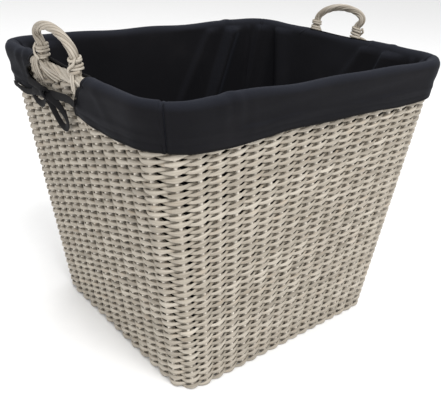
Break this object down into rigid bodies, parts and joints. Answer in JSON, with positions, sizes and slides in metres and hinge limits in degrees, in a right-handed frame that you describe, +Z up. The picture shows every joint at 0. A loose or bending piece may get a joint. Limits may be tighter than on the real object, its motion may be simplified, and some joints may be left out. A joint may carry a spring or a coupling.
{
  "type": "wicker log basket",
  "caption": "Tapered round-cornered wicker log basket with two rope-like end handles and a lift-out dark cloth liner folded over the rim and tied under each handle.",
  "frame": {"origin": "middle of the base at floor level", "axes": "+Z up; X along the long front and back, with the handles at -X (left) and +X (right); -Y is the front"},
  "size_m": [0.64, 0.477, 0.5399],
  "materials": {
    "weave": "grey-beige washed wicker strands, matt",
    "stakes": "washed wicker rods, matt",
    "border": "grey-beige washed wicker strands, matt",
    "base_rods": "washed cane pole, matt",
    "handle": "pale washed cane, slightly smooth from handling",
    "liner": "black cotton cloth, matt",
    "tape": "black cotton tape, matt"
  },
  "bodies": {
    "basket": {"base_frame": "base_rods", "base_sticks": "base_rods", "base_weave": "weave", "side_stakes": "stakes", "wall_weave": "weave", "rim_border": "border", "left_handle_bow": "handle", "left_handle_strands": "handle", "left_handle_binding_a": "handle", "left_handle_binding_b": "handle", "right_handle_bow": "handle", "right_handle_strands": "handle", "right_handle_binding_a": "handle", "right_handle_binding_b": "handle"},
    "liner": {"liner_base_panel": "liner", "liner_front_panel": "liner", "liner_rear_panel": "liner", "liner_left_panel": "liner", "liner_right_panel": "liner", "left_cutout_piping": "tape", "left_front_tie": "tape", "left_rear_tie": "tape", "left_tie_knot": "tape", "right_cutout_piping": "tape", "right_front_tie": "tape", "right_rear_tie": "tape", "right_tie_knot": "tape"}
  },
  "joints": [
    {"name": "liner_lift", "type": "slide", "parent": "basket", "child": "liner", "axis": [0, 0, 1], "range_m": [0, 0.6]}
  ]
}
